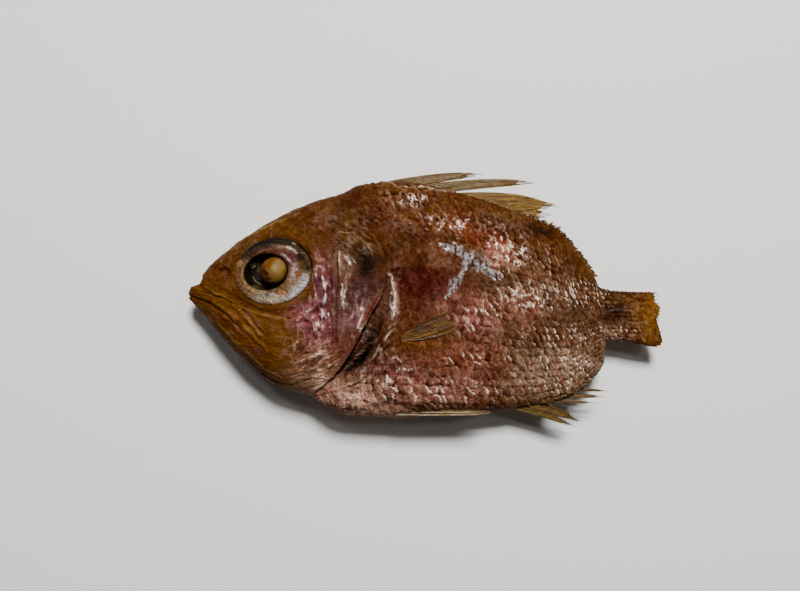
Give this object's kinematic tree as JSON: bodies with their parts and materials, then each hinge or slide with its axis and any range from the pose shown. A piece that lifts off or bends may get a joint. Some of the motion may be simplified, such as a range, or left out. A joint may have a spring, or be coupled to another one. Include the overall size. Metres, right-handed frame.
{
  "type": "smoked fish",
  "caption": "Small whole smoked fish, deep and flat, with large sunken eyes, free-edged gill covers, folded fins and a trimmed tail, lying on its side.",
  "frame": {"origin": "on the resting surface, below the middle of the fish's length and height", "axes": "-X to the snout and +X to the tail, +Y to the back, +Z out of the left flank, which faces up"},
  "size_m": [0.1276, 0.0692, 0.0218],
  "materials": {
    "smoked_skin": "dried fish skin, oily and lightly wrinkled, brown to dark red",
    "dried_iris": "semi-gloss silvery tissue",
    "cooked_lens": "cooked, opaque tan"
  },
  "bodies": {
    "root": {"fish": "smoked_skin", "eyeball_left": "dried_iris", "eyeball_right": "dried_iris", "lens_left": "cooked_lens", "lens_right": "cooked_lens"}
  },
  "joints": []
}
